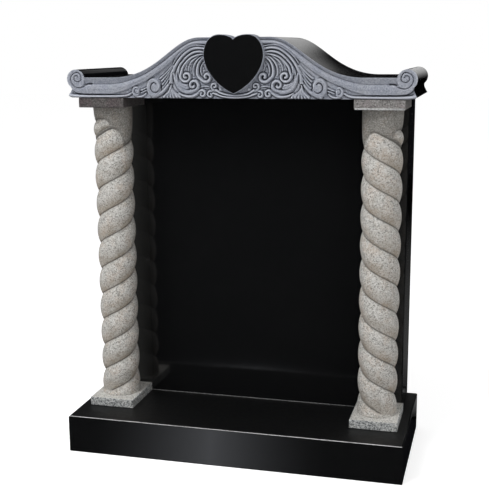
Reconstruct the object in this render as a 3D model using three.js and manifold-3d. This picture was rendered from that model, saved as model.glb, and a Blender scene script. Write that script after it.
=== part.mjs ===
// Granite headstone: a polished tablet on a base, two barley-twist columns between square slabs,
// and a swan-neck pediment with rolled ends, a raised heart and carved scrolls.
// Millimetres, +Z up, the front faces -Y, and the origin is under the middle of the base.

import * as THREE from 'three';
import { mergeVertices } from 'three/addons/utils/BufferGeometryUtils.js';
import Module from 'manifold-3d';

const wasm = await Module();
wasm.setup();

// Driving dimensions
const BASE = { width: 914, depth: 406, height: 102, arris: 5 };
const TABLET = { width: 856, thickness: 152, arris: 3 };
const SLAB = { width: 127, depth: 160, plinthHeight: 24, capitalHeight: 26, arris: 2 };
const COLUMN = {
  spread: 368, height: 812, radius: 53, groove: 8.5, fullness: 0.8,
  sides: 12, rings: 66, outerGrooveHeight: 55, neck: 24, neckFade: 38, footFade: 14,
};
const PEDIMENT = {
  overhang: 7, relief: 14, crown: 153.5, crownHalf: 92, flat: 53, flatStart: 330,
  shoulderPull: 165, valleyPull: 205,
  roll: { x: 435, z: 48.5, radius: 25, openAngle: -50 },
  throat: { x: 451.5, z: 20 }, lipTip: { x: 459.5, z: 5 }, soleHalf: 451,
};
const HEART = {
  tip: 12, tipPull: [44, 31], flankPull: [77, 70], cheek: [79, 108], shoulderPull: [79, 138],
  crestPull: [62, 160.5], lobe: [38, 160.5], lobePull: [22, 160.5], notchPull: [7, 157], notch: 149,
  proud: 8, root: 20, bevel: 3,
};
const CORNICE = {
  flatWidth: 43.5, heartWidth: 18, narrowing: [0.1, 0.6], end: 409, heartReach: 70, segments: 18,
  profile: [[0, 12], [0.06, 14], [0.39, 11], [0.42, 8], [0.5, 12], [0.82, 12], [1, 6]],
};

// Fineness of the curved outlines, and how deep the carved pieces root in the block
const STEPS = { neck: 14, roll: 16, heart: 8, strand: 5, rib: 3, spiralTurn: 40, bead: [8, 6] };
const BURY = 4;
const MERGE_TOLERANCE = 1e-4;

// Levels and planes that follow from them
const plinthTop = BASE.height + SLAB.plinthHeight;
const capitalFoot = plinthTop + COLUMN.height;
const soleZ = capitalFoot + SLAB.capitalHeight;
const backY = BASE.depth / 2;
const tabletFrontY = backY - TABLET.thickness;
const slabY = tabletFrontY - SLAB.depth / 2;
const carvedFrontY = tabletFrontY - SLAB.depth - PEDIMENT.overhang;
const groundY = carvedFrontY + PEDIMENT.relief;

const FINISHES = {
  polished: { color: 0x15161a, roughness: 0.12, metalness: 0 },
  carved: { color: 0x8b909c, roughness: 0.75, metalness: 0 },
  speckled: { color: 0xb3aea2, roughness: 0.7, metalness: 0 },
  capital: { color: 0x8a857c, roughness: 0.6, metalness: 0 },
};

// Solids and booleans

/** A closed solid from a geometry, with its shared corners merged. */
function solidOf(geometry) {
  const bare = geometry.clone();
  bare.deleteAttribute('normal');
  bare.deleteAttribute('uv');
  const merged = mergeVertices(bare, MERGE_TOLERANCE);
  return new wasm.Manifold(new wasm.Mesh({
    numProp: 3,
    vertProperties: new Float32Array(merged.attributes.position.array),
    triVerts: new Uint32Array(merged.index.array),
  }));
}

/** The geometry of a solid, with flat normals. */
function geometryOf(solid) {
  const { vertProperties, triVerts } = solid.getMesh();
  const geometry = new THREE.BufferGeometry();
  geometry.setAttribute('position', new THREE.BufferAttribute(new Float32Array(vertProperties), 3));
  geometry.setIndex(new THREE.BufferAttribute(new Uint32Array(triVerts), 1));
  geometry.computeVertexNormals();
  return geometry;
}

/** The same geometry on the other side of the middle plane, still facing out. */
function mirrored(geometry) {
  const copy = geometry.clone().scale(-1, 1, 1);
  const index = copy.index.array;
  for (let i = 0; i < index.length; i += 3) {
    [index[i], index[i + 1]] = [index[i + 1], index[i]];
  }
  return copy;
}

/** A named piece with its own material. */
function piece(name, geometry, finish) {
  const mesh = new THREE.Mesh(geometry, new THREE.MeshStandardMaterial(finish));
  mesh.name = name;
  return mesh;
}

// Base, tablet and square slabs

/** Polygon shape through a few corners. */
function polygon(corners) {
  return new THREE.Shape(corners.map(([x, y]) => new THREE.Vector2(x, y)));
}

/** Block cut from two profiles: the front view keeps its side arrises, the end view its front arris. */
function baseGeometry() {
  const { width, depth, height, arris } = BASE;
  const halfWidth = width / 2;
  const frontView = polygon([
    [-halfWidth, 0], [halfWidth, 0], [halfWidth, height - arris], [halfWidth - arris, height],
    [arris - halfWidth, height], [-halfWidth, height - arris],
  ]);
  const endView = polygon([
    [-backY, 0], [backY, 0], [backY, height], [arris - backY, height], [-backY, height - arris],
  ]);
  const plain = { bevelEnabled: false };
  const alongY = new THREE.ExtrudeGeometry(frontView, { ...plain, depth });
  alongY.rotateX(Math.PI / 2).translate(0, backY, 0);
  const alongX = new THREE.ExtrudeGeometry(endView, { ...plain, depth: width });
  alongX.rotateX(Math.PI / 2).rotateZ(Math.PI / 2).translate(-halfWidth, 0, 0);
  return geometryOf(solidOf(alongY).intersect(solidOf(alongX)));
}

/** Upright slab with its four standing arrises taken off. */
function tabletGeometry() {
  const { width, thickness, arris } = TABLET;
  const x = width / 2;
  const plan = polygon([
    [-x + arris, 0], [x - arris, 0], [x, arris], [x, thickness - arris],
    [x - arris, thickness], [-x + arris, thickness], [-x, thickness - arris], [-x, arris],
  ]);
  const geometry = new THREE.ExtrudeGeometry(plan, { depth: soleZ - BASE.height, bevelEnabled: false });
  return geometry.translate(0, tabletFrontY, BASE.height);
}

/** Square slab with small arrises at the top and bottom. */
function slabGeometry(height) {
  const x = SLAB.width / 2;
  const y = SLAB.depth / 2;
  const plan = polygon([[-x, -y], [x, -y], [x, y], [-x, y]]);
  const geometry = new THREE.ExtrudeGeometry(plan, {
    depth: height - 2 * SLAB.arris, bevelThickness: SLAB.arris, bevelSize: SLAB.arris,
    bevelOffset: -SLAB.arris, bevelSegments: 1,
  });
  return geometry.translate(0, 0, SLAB.arris);
}

// Twisted columns

/**
 * Two-strand twist of the left column, standing on z = 0. The rings are spaced so that the groove
 * climbs one side per ring, and so runs along edges of the mesh.
 */
function columnGeometry() {
  const { radius, height, sides, rings, groove, fullness, neck, neckFade, footFade } = COLUMN;
  const geometry = new THREE.CylinderGeometry(radius, radius, height, sides, rings);
  geometry.rotateX(Math.PI / 2).translate(0, 0, height / 2);
  const lead = (height / rings) * sides;
  const position = geometry.attributes.position;
  const point = new THREE.Vector3();
  for (let i = 0; i < position.count; i += 1) {
    point.fromBufferAttribute(position, i);
    const reach = Math.hypot(point.x, point.y);
    const phase = Math.atan2(point.y, point.x) - (2 * Math.PI * point.z) / lead;
    const lobe = Math.abs(Math.sin(phase)) ** fullness;
    const below = THREE.MathUtils.smoothstep(point.z, 0, footFade);
    const above = 1 - THREE.MathUtils.smoothstep(point.z, height - neck - neckFade, height - neck);
    const shrink = 1 - (groove / radius) * (1 - lobe) * below * above;
    if (reach > radius / 2) {
      position.setXYZ(i, point.x * shrink, point.y * shrink, point.z);
    }
  }
  const turn = (2 * Math.PI * COLUMN.outerGrooveHeight) / lead;
  return geometry.rotateZ(-turn);
}

// Pediment: outline, then what is carved on its front

/** Swan neck from the crown down to the flat end, on the right half. */
function swanNeck() {
  const { crown, crownHalf, flat, flatStart, shoulderPull, valleyPull } = PEDIMENT;
  return new THREE.CubicBezierCurve(
    new THREE.Vector2(crownHalf, crown),
    new THREE.Vector2(shoulderPull, crown),
    new THREE.Vector2(valleyPull, flat),
    new THREE.Vector2(flatStart, flat),
  );
}

/** Right half of the outline, from the crown to the sole. */
function halfOutline() {
  const { flat, roll, throat, lipTip, soleHalf } = PEDIMENT;
  const rise = flat - roll.z;
  const startAngle = Math.PI - Math.asin(rise / roll.radius);
  const endAngle = THREE.MathUtils.degToRad(roll.openAngle);
  const arc = new THREE.EllipseCurve(
    roll.x, roll.z, roll.radius, roll.radius, startAngle, endAngle, true,
  );
  return [
    ...swanNeck().getPoints(STEPS.neck),
    ...arc.getPoints(STEPS.roll),
    new THREE.Vector2(throat.x, throat.z),
    new THREE.Vector2(lipTip.x, lipTip.z),
    new THREE.Vector2(soleHalf, 0),
  ];
}

/** The block behind the carving, rolled at both ends, the full depth of the stone. */
function blockSolid() {
  const right = halfOutline();
  const left = right.map(({ x, y }) => new THREE.Vector2(-x, y)).reverse();
  const geometry = new THREE.ExtrudeGeometry(new THREE.Shape([...right, ...left]), {
    depth: backY - groundY, bevelEnabled: false,
  });
  return solidOf(geometry.rotateX(Math.PI / 2).translate(0, backY, soleZ));
}

/**
 * A raised moulding on the carved ground: a box bent along a path in the face of the stone.
 * section(u) lists [offset to the left of the path, rise above the ground] across the moulding.
 */
function moulding(path, section, segments) {
  const across = section(0).length - 1;
  const geometry = new THREE.BoxGeometry(1, 1, 1, segments, across, 1);
  const position = geometry.attributes.position;
  for (let i = 0; i < position.count; i += 1) {
    const u = position.getX(i) + 0.5;
    const [offset, rise] = section(u)[Math.round((position.getY(i) + 0.5) * across)];
    const level = position.getZ(i) > 0 ? rise : -BURY;
    const point = path.getPointAt(u);
    const tangent = path.getTangentAt(u);
    position.setXYZ(
      i,
      point.x - tangent.y * offset,
      groundY - level,
      soleZ + point.y + tangent.x * offset,
    );
  }
  return geometry;
}

/** Section of a strand: a low ridge that tapers from its start to its tip. */
function strandSection([startHalf, tipHalf], [startRise, tipRise]) {
  const SHOULDER = 0.45;
  return (u) => {
    const half = THREE.MathUtils.lerp(startHalf, tipHalf, u);
    const rise = THREE.MathUtils.lerp(startRise, tipRise, u);
    return [[-half, rise * SHOULDER], [0, rise], [half, rise * SHOULDER]];
  };
}

/** Path of a scroll: a lead-in through a few stations, then a spiral winding into its eye. */
function scrollPath({ lead, eye, start, sweep, radius, hold = 1 }) {
  const points = lead.map(([x, z]) => new THREE.Vector2(x, z));
  const steps = Math.ceil(Math.abs(sweep) / STEPS.spiralTurn);
  for (let i = 0; i <= steps; i += 1) {
    const t = i / steps;
    const reach = THREE.MathUtils.lerp(radius[0], radius[1], t ** hold);
    const angle = THREE.MathUtils.degToRad(start + sweep * t);
    points.push(new THREE.Vector2(
      eye[0] + reach * Math.cos(angle),
      eye[1] + reach * Math.sin(angle),
    ));
  }
  return new THREE.SplineCurve(points);
}

// Scrolls of the right half: lead-in stations, eye, spiral, half-widths and rises, in the face's x and z
const SCROLLS = [
  {
    lead: [[396, 22], [418, 22]], eye: [435, 48.5], start: -75, sweep: 470,
    radius: [21, 3], hold: 1.8, half: [5, 3.4], rise: [13, 15], segments: 20,
  },
  {
    lead: [[192, 6]], eye: [214, 28], start: -90, sweep: 450,
    radius: [23.5, 3], half: [4.5, 4], rise: [12, 14], segments: 17,
  },
  {
    lead: [[243, 9]], eye: [265, 19], start: -90, sweep: 400,
    radius: [14, 2.5], half: [3.2, 2.8], rise: [10, 13], segments: 12,
  },
  {
    lead: [[82, 121], [112, 114], [136, 96]], eye: [129, 56], start: 30, sweep: -430,
    radius: [20, 2.5], half: [3.5, 3], rise: [11, 13], segments: 20,
  },
  {
    lead: [[160, 54], [153, 35], [139, 20]], eye: [111.5, 32], start: -80, sweep: -400,
    radius: [16.5, 2.5], half: [3.5, 3], rise: [11, 13], segments: 17,
  },
  {
    lead: [[161, 28], [144, 8], [116, 5], [102, 9]], eye: [88, 12], start: 10, sweep: 370,
    radius: [9.5, 2.2], half: [3.4, 2.4], rise: [10, 12], segments: 13,
  },
  {
    lead: [[44, 12], [54, 18]], eye: [65, 10], start: 110, sweep: -360,
    radius: [9, 2.2], half: [2.6, 2.4], rise: [10, 12], segments: 10,
  },
  {
    lead: [[45, 19]], eye: [54, 30], start: -60, sweep: 360,
    radius: [8, 2], half: [2.6, 2.2], rise: [10, 12], segments: 9,
  },
  {
    lead: [[82, 107], [93, 89]], eye: [74, 52], start: 25, sweep: -400,
    radius: [25, 2.5], hold: 0.7, half: [4.5, 3.5], rise: [11, 13], segments: 16,
  },
];

// Plain strands of the right half: stations, half-widths and rises
const STRANDS = [
  { stations: [[78, 130], [112, 125], [139, 108], [157, 84], [172, 36]], half: [2.6, 3], rise: [11, 9] },
  { stations: [[84, 112], [102, 98], [111, 80], [108, 57]], half: [3, 1.5], rise: [11, 8] },
  { stations: [[104, 106], [119, 94], [122, 72]], half: [3, 1], rise: [9, 7] },
  { stations: [[121, 27], [137, 33], [154, 50]], half: [3, 1], rise: [8, 7] },
  { stations: [[201, 47], [186, 66], [165, 88]], half: [3, 2], rise: [9, 9] },
  { stations: [[192, 38], [180, 58], [165, 82]], half: [3, 2], rise: [9, 9] },
  { stations: [[452, 8], [428, 6], [365, 4.5], [305, 7], [284, 13]], half: [4.5, 3], rise: [14, 12] },
];

// Palmette at the foot of the swan neck, and the round beads
const FAN = {
  throat: [172, 38], foot: 2, firstX: 146, lastX: 198, ribs: 7, half: [1.6, 4], rise: [11, 9],
  waist: { spread: 0.3, height: 0.5 },
};
const BEADS = [{ x: 38, z: 22.5, radius: 4.5 }, { x: 452, z: 8, radius: 6.5 }];
const SWAG = {
  stations: [[50, 22], [31, 11], [0, 7], [-31, 11], [-50, 22]], half: 3, rise: 12, segments: 14,
};

/** Curve through a few stations given as [x, z]. */
function through(stations) {
  return new THREE.SplineCurve(stations.map(([x, z]) => new THREE.Vector2(x, z)));
}

/** Edge moulding along the top: a fascia, a quirk under it and a ribbon, narrower towards the heart. */
function corniceGeometry() {
  const { flatWidth, heartWidth, narrowing, end, heartReach, segments, profile } = CORNICE;
  const edge = new THREE.CurvePath();
  const neck = swanNeck();
  edge.add(new THREE.LineCurve(new THREE.Vector2(end, PEDIMENT.flat), neck.v3));
  edge.add(new THREE.CubicBezierCurve(neck.v3, neck.v2, neck.v1, neck.v0));
  edge.add(new THREE.LineCurve(neck.v0, new THREE.Vector2(heartReach, PEDIMENT.crown)));
  const section = (u) => {
    const narrowed = THREE.MathUtils.smoothstep(u, ...narrowing);
    const width = THREE.MathUtils.lerp(flatWidth, heartWidth, narrowed);
    return profile.map(([share, rise]) => [share * width, rise]);
  };
  return moulding(edge, section, segments);
}

/** Ribs that spread from a throat to the foot of the stone. */
function fanGeometries() {
  const { throat, foot, firstX, lastX, ribs, half, rise, waist } = FAN;
  return Array.from({ length: ribs }, (_, i) => {
    const x = THREE.MathUtils.lerp(firstX, lastX, i / (ribs - 1));
    const narrow = [THREE.MathUtils.lerp(throat[0], x, waist.spread), throat[1] * waist.height];
    return moulding(through([throat, narrow, [x, foot]]), strandSection(half, rise), STEPS.rib);
  });
}

/** Everything carved on the right half. */
function halfCarving() {
  const scrolls = SCROLLS.map((scroll) => (
    moulding(scrollPath(scroll), strandSection(scroll.half, scroll.rise), scroll.segments)
  ));
  const strands = STRANDS.map(({ stations, half, rise }) => (
    moulding(through(stations), strandSection(half, rise), STEPS.strand)
  ));
  const beads = BEADS.map(({ x, z, radius }) => (
    new THREE.SphereGeometry(radius, ...STEPS.bead).translate(x, groundY - radius, soleZ + z)
  ));
  return [corniceGeometry(), ...fanGeometries(), ...scrolls, ...strands, ...beads];
}

/** Polished heart standing proud of the carving, with a bevelled rim. */
function heartGeometry() {
  const { notch, notchPull, lobe, cheek, tip, tipPull, proud, root, bevel } = HEART;
  const left = ([x, z]) => [-x, z];
  const shape = new THREE.Shape();
  shape.moveTo(0, tip);
  shape.bezierCurveTo(...tipPull, ...HEART.flankPull, ...cheek);
  shape.bezierCurveTo(...HEART.shoulderPull, ...HEART.crestPull, ...lobe);
  shape.bezierCurveTo(...HEART.lobePull, ...notchPull, 0, notch);
  shape.bezierCurveTo(...left(notchPull), ...left(HEART.lobePull), ...left(lobe));
  shape.bezierCurveTo(...left(HEART.crestPull), ...left(HEART.shoulderPull), ...left(cheek));
  shape.bezierCurveTo(...left(HEART.flankPull), ...left(tipPull), 0, tip);
  const geometry = new THREE.ExtrudeGeometry(shape, {
    depth: PEDIMENT.relief + proud + root - bevel, bevelThickness: bevel, bevelSize: bevel,
    bevelOffset: -bevel, bevelSegments: 1, curveSegments: STEPS.heart,
  });
  return geometry.rotateX(Math.PI / 2).translate(0, groundY + root, soleZ);
}

/** Carved pediment as one stone, trimmed level with its sole. */
function pedimentGeometry() {
  const half = halfCarving();
  const swag = moulding(
    through(SWAG.stations),
    strandSection([SWAG.half, SWAG.half], [SWAG.rise, SWAG.rise]),
    SWAG.segments,
  );
  const carving = [...half, ...half.map(mirrored), swag, heartGeometry()]
    .map(solidOf)
    .reduce((whole, solid) => whole.add(solid));
  const reach = { x: 2 * BASE.width, y: 2 * BASE.depth, z: 2 * PEDIMENT.crown };
  const aboveSole = new THREE.BoxGeometry(reach.x, reach.y, reach.z);
  aboveSole.translate(0, 0, soleZ + reach.z / 2);
  return geometryOf(blockSolid().add(carving.intersect(solidOf(aboveSole))));
}

// The headstone

const headstone = new THREE.Group();
headstone.add(
  piece('base', baseGeometry(), FINISHES.polished),
  piece('tablet', tabletGeometry(), FINISHES.polished),
  piece('pediment', pedimentGeometry(), FINISHES.carved),
);

const leftColumn = columnGeometry();
const columns = { left: leftColumn, right: mirrored(leftColumn) };
for (const [side, geometry] of Object.entries(columns)) {
  const stack = new THREE.Group();
  stack.position.set(side === 'right' ? COLUMN.spread : -COLUMN.spread, slabY, 0);
  const plinth = piece(`plinth_${side}`, slabGeometry(SLAB.plinthHeight), FINISHES.speckled);
  plinth.position.z = BASE.height;
  const shaft = piece(`column_${side}`, geometry, FINISHES.speckled);
  shaft.position.z = plinthTop;
  const capital = piece(`capital_${side}`, slabGeometry(SLAB.capitalHeight), FINISHES.capital);
  capital.position.z = capitalFoot;
  stack.add(plinth, shaft, capital);
  headstone.add(stack);
}

export default headstone;
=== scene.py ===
"""Looks of a granite headstone: polished black stone, barley-twist columns and a carved pediment.

Every piece is built in metres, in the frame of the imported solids, and stands in their place.
"""

import logging
import math
from collections.abc import Callable, Sequence
from dataclasses import dataclass, field
from enum import Enum
from typing import Protocol

import bmesh
import bpy
import numpy as np
from mathutils import Matrix, Vector


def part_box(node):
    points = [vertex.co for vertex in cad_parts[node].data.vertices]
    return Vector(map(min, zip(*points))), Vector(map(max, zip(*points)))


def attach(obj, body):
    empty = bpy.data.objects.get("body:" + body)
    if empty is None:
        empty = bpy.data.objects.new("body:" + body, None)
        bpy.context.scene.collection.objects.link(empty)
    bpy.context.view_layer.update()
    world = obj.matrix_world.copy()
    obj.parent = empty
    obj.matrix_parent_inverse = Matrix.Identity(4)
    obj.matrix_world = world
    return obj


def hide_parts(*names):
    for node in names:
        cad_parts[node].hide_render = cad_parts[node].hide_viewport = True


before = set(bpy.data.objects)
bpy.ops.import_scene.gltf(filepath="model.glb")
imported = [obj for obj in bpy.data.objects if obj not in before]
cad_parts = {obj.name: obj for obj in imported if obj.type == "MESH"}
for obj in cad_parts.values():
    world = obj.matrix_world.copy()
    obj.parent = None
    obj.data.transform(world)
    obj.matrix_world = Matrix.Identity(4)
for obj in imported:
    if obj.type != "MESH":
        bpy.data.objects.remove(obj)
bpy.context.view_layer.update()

LOG = logging.getLogger("headstone")
MM = 0.001

# A place on the carved face, a pair of values, a place in the room, a colour, a part of the carving's
# grid, and a test for the two ends of an edge
Station = tuple[float, float]
Span = tuple[float, float]
Place = tuple[float, float, float]
Colour = tuple[float, float, float, float]
Window = tuple[slice, slice]
EdgeTest = Callable[[Vector, Vector], bool]


class Side(Enum):
    """The two sides of the stone, with the sign of their x."""

    LEFT = -1
    RIGHT = 1

    @property
    def label(self) -> str:
        """Ending of the names of this side's pieces."""
        return self.name.lower()


class Slot(Enum):
    """Material slots of the record."""

    POLISHED = "polished_black"
    LIGHT = "light_granite"
    GREY = "grey_granite"
    CARVED = "carved_granite"


# Shader sheets


class NodeSheet:
    """A node tree being laid out, with short calls that add and wire its nodes."""

    def __init__(self, tree: bpy.types.NodeTree) -> None:
        """Clear the tree.

        Args:
            tree: Tree of a material, a group or the world.
        """
        self.tree = tree
        tree.nodes.clear()

    def add(self, kind: str, settings: dict | None = None, **inputs: object) -> bpy.types.Node:
        """Add a node.

        Args:
            kind: Type of the node.
            settings: Properties to set on it.
            **inputs: Values or sockets for its inputs, with _ for a space in a name.

        Returns:
            The new node.
        """
        node = self.tree.nodes.new(kind)
        for name, value in (settings or {}).items():
            setattr(node, name, value)
        for name, value in inputs.items():
            self.feed(node.inputs[name.replace("_", " ")], value)
        return node

    def feed(self, socket: bpy.types.NodeSocket, value: object) -> None:
        """Wire a socket to another one, or set its value.

        Args:
            socket: The input to fill.
            value: An output socket, or a plain value.
        """
        if isinstance(value, bpy.types.NodeSocket):
            self.tree.links.new(value, socket)
        else:
            socket.default_value = value

    def math(self, operation: str, first: object, second: object = 0.0) -> bpy.types.NodeSocket:
        """Combine two values.

        Args:
            operation: Name of the operation.
            first: First value or socket.
            second: Second value or socket.

        Returns:
            The clamped result.
        """
        node = self.add("ShaderNodeMath", {"operation": operation, "use_clamp": True})
        self.feed(node.inputs[0], first)
        self.feed(node.inputs[1], second)
        return node.outputs[0]

    def mix(
        self, share: object, first: object, second: object, blend: str = "MIX",
    ) -> bpy.types.NodeSocket:
        """Mix two colours.

        Args:
            share: Share of the second colour.
            first: First colour or socket.
            second: Second colour or socket.
            blend: How they are mixed.

        Returns:
            The mixed colour.
        """
        node = self.add("ShaderNodeMix", {"data_type": "RGBA", "blend_type": blend})
        self.feed(node.inputs[0], share)
        self.feed(node.inputs[6], first)
        self.feed(node.inputs[7], second)
        return node.outputs[2]

    def spread(
        self, value: object, source: Span, target: Span = (0.0, 1.0), curve: str = "SMOOTHSTEP",
    ) -> bpy.types.NodeSocket:
        """Map a value from one range to another, clamped.

        Args:
            value: The value or socket.
            source: Range that it comes from.
            target: Range that it goes to.
            curve: How it goes from one end to the other.

        Returns:
            The mapped value.
        """
        node = self.add(
            "ShaderNodeMapRange", {"interpolation_type": curve}, Value=value,
            From_Min=source[0], From_Max=source[1], To_Min=target[0], To_Max=target[1],
        )
        return node.outputs[0]

    def ramp(self, value: object, stops: Sequence[tuple[float, Colour]]) -> bpy.types.NodeSocket:
        """Colour a value by a few stops.

        Args:
            value: The value or socket.
            stops: Pairs of position and colour.

        Returns:
            The colour.
        """
        node = self.add("ShaderNodeValToRGB", Fac=value)
        elements = node.color_ramp.elements
        while len(elements) < len(stops):
            elements.new(0.5)
        for element, (position, colour) in zip(elements, stops):
            element.position = position
            element.color = colour
        return node.outputs["Color"]

    def attribute(self, name: str) -> bpy.types.NodeSocket:
        """Read one of the piece's own values."""
        return self.add("ShaderNodeAttribute", {"attribute_name": name}).outputs["Fac"]

    def noise(self, scale: float, detail: float = 3.0) -> bpy.types.NodeSocket:
        """Noise over the piece's object coordinates.

        Args:
            scale: Features per metre.
            detail: Finer octaves on top.

        Returns:
            The noise value.
        """
        place = self.add("ShaderNodeTexCoord").outputs["Object"]
        return self.add("ShaderNodeTexNoise", Vector=place, Scale=scale, Detail=detail).outputs["Fac"]


def grey(level: float) -> Colour:
    """A grey without a tint."""
    return (level, level, level, 1.0)


def granite_group() -> bpy.types.NodeTree:
    """Build the crystal pattern that every stone of the memorial shares.

    Returns:
        A group with the pattern's colours and shares as inputs, and a colour and a height as outputs.
    """
    name = "granite_crystals"
    if name in bpy.data.node_groups:
        return bpy.data.node_groups[name]
    group = bpy.data.node_groups.new(name, "ShaderNodeTree")
    for label in ("Crystals", "Clouds", "Dark Share", "Light Share"):
        group.interface.new_socket(label, in_out="INPUT", socket_type="NodeSocketFloat")
    for label in ("Ground", "Cloud", "Dark", "Light"):
        group.interface.new_socket(label, in_out="INPUT", socket_type="NodeSocketColor")
    group.interface.new_socket("Color", in_out="OUTPUT", socket_type="NodeSocketColor")
    group.interface.new_socket("Height", in_out="OUTPUT", socket_type="NodeSocketFloat")

    sheet = NodeSheet(group)
    given = sheet.add("NodeGroupInput").outputs
    place = sheet.add("ShaderNodeTexCoord").outputs["Object"]

    # Cells with shivered edges, each with its own chance of being a dark or a light crystal
    grown = sheet.add(
        "ShaderNodeVectorMath", {"operation": "SCALE"}, Vector=place, Scale=given["Crystals"],
    )
    shiver = sheet.add("ShaderNodeTexNoise", Vector=grown.outputs[0], Scale=1.3, Detail=2.0)
    bent = sheet.add("ShaderNodeVectorMath", {"operation": "MULTIPLY_ADD"})
    sheet.feed(bent.inputs[0], shiver.outputs["Color"])
    sheet.feed(bent.inputs[1], (0.9, 0.9, 0.9))
    sheet.feed(bent.inputs[2], grown.outputs[0])
    cells = sheet.add("ShaderNodeTexVoronoi", Vector=bent.outputs[0], Scale=1.0)
    chance = sheet.add("ShaderNodeSeparateColor", Color=cells.outputs["Color"]).outputs

    # A clouded ground, whose cells differ a little in tone
    clouds = sheet.add("ShaderNodeTexNoise", Vector=place, Scale=given["Clouds"], Detail=3.0)
    cloudy = sheet.spread(clouds.outputs["Fac"], (0.42, 0.66))
    ground = sheet.mix(cloudy, given["Ground"], given["Cloud"])
    tones = sheet.ramp(chance["Green"], ((0.0, grey(0.1)), (1.0, grey(0.9))))
    toned = sheet.mix(0.35, ground, tones, "SOFT_LIGHT")

    # The dark and the light crystals over it
    dark = sheet.math("MULTIPLY", sheet.math("LESS_THAN", chance["Red"], given["Dark Share"]), 0.8)
    upper = sheet.math("SUBTRACT", 1.0, given["Light Share"])
    light = sheet.math("MULTIPLY", sheet.math("GREATER_THAN", chance["Red"], upper), 0.75)
    speckled = sheet.mix(light, sheet.mix(dark, toned, given["Dark"]), given["Light"])
    fine = sheet.add("ShaderNodeTexNoise", Vector=place, Scale=given["Crystals"], Detail=4.0)
    sheet.add("NodeGroupOutput", Color=speckled, Height=fine.outputs["Fac"])
    return group


# Optical density of granite, height of its crystals and size of the clouds in a polish
GRANITE_IOR = 1.6
CRYSTAL_HEIGHT = 1.2 * MM
POLISH_CLOUDS = 90.0


@dataclass(frozen=True)
class Granite:
    """A granite as quarried: the colours of its crystals, and how many there are of each."""

    ground: Colour
    cloud: Colour
    dark: Colour
    light: Colour
    crystals: float
    clouds: float
    dark_share: float
    light_share: float

    def place(self, sheet: NodeSheet) -> bpy.types.Node:
        """Set the shared crystal pattern into a material.

        Args:
            sheet: The material's sheet.

        Returns:
            The group node.
        """
        node = sheet.add("ShaderNodeGroup", {"node_tree": granite_group()})
        values = {
            "Crystals": self.crystals, "Clouds": self.clouds,
            "Dark Share": self.dark_share, "Light Share": self.light_share,
            "Ground": self.ground, "Cloud": self.cloud, "Dark": self.dark, "Light": self.light,
        }
        for label, value in values.items():
            node.inputs[label].default_value = value
        return node


@dataclass(frozen=True)
class Finish:
    """A worked surface of one granite."""

    name: str
    stone: Granite
    roughness: Span
    bump: float

    def tint(self, sheet: NodeSheet, colour: bpy.types.NodeSocket) -> bpy.types.NodeSocket:
        """Leave the stone's own colour as it is."""
        return colour

    def material(self) -> bpy.types.Material:
        """Build the material once.

        Returns:
            The finished material.
        """
        if self.name in bpy.data.materials:
            return bpy.data.materials[self.name]
        material = bpy.data.materials.new(self.name)
        material.use_nodes = True
        sheet = NodeSheet(material.node_tree)
        crystals = self.stone.place(sheet)
        colour = self.tint(sheet, crystals.outputs["Color"])
        roughness = sheet.spread(sheet.noise(POLISH_CLOUDS), (0.3, 0.7), self.roughness)
        bump = sheet.add(
            "ShaderNodeBump", Height=crystals.outputs["Height"], Strength=self.bump, Distance=CRYSTAL_HEIGHT,
        )
        surface = sheet.add(
            "ShaderNodeBsdfPrincipled", Base_Color=colour, Roughness=roughness,
            Normal=bump.outputs["Normal"], IOR=GRANITE_IOR,
        )
        sheet.add("ShaderNodeOutputMaterial", Surface=surface.outputs["BSDF"])
        material.diffuse_color = self.stone.ground
        return material


@dataclass(frozen=True)
class CarvedFinish(Finish):
    """Frosted carving, with a painted highlight on the crests and painted shade in the cuts."""

    # Colour of the painted shade in the cuts
    cut: Colour = (0.030, 0.033, 0.042, 1)
    # Colour of the painted highlight on the crests
    painted_relief_light: Colour = (0.61, 0.635, 0.70, 1)

    def tint(self, sheet: NodeSheet, colour: bpy.types.NodeSocket) -> bpy.types.NodeSocket:
        """Paint shade into the cuts and a highlight onto the crests, by how high the carving stands around
        each point.

        Args:
            sheet: The material's sheet.
            colour: The stone's own colour.

        Returns:
            The colour with the painted shade and highlight.
        """
        height = sheet.attribute("painted_relief_light")
        # Painted shade in the cuts and painted highlight on the crests
        painted_cut_shade_share = sheet.spread(height, (0.44, 0.08))
        high = sheet.spread(height, (0.54, 0.9), (0.0, 0.7))
        return sheet.mix(high, sheet.mix(painted_cut_shade_share, colour, self.cut), self.painted_relief_light)


@dataclass(frozen=True)
class ShaftFinish(Finish):
    """Tooled column with painted shade: warm under each strand, a dark line in the groove, and a neck darker
    partly from painted shade under the capital and partly from its own rough speckle.
    """

    # Painted shade along the groove
    painted_groove_shade: Colour = (0.075, 0.068, 0.06, 1)
    # Warm painted shade under each strand
    warm: Colour = (0.30, 0.235, 0.165, 1)
    # Darker neck: painted shade under the capital, and the neck's own rough speckle
    neck: Colour = (0.115, 0.105, 0.09, 1)

    def tint(self, sheet: NodeSheet, colour: bpy.types.NodeSocket) -> bpy.types.NodeSocket:
        """Paint shade under the strands and along the groove, and darken the neck with painted shade and its
        own speckle.

        Args:
            sheet: The material's sheet.
            colour: The stone's own colour.

        Returns:
            The colour with the painted shade.
        """
        # Painted shade under each strand, broken up by noise
        under_shade_breakup = sheet.spread(sheet.noise(26.0), (0.3, 0.65), (0.2, 0.75))
        under = sheet.math("MULTIPLY", sheet.attribute("under"), under_shade_breakup)
        under_shaded = sheet.mix(under, colour, self.warm)
        # Painted shade along the groove
        groove = sheet.spread(sheet.attribute("recess"), (0.62, 1.0), (0.0, 0.85))
        groove_shaded = sheet.mix(groove, under_shaded, self.painted_groove_shade)
        # Painted shade on the neck, mixed with its own speckle
        flecks = sheet.spread(sheet.noise(420.0, 2.0), (0.35, 0.65), (0.42, 0.8))
        return sheet.mix(sheet.math("MULTIPLY", sheet.attribute("neck"), flecks), groove_shaded, self.neck)


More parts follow.
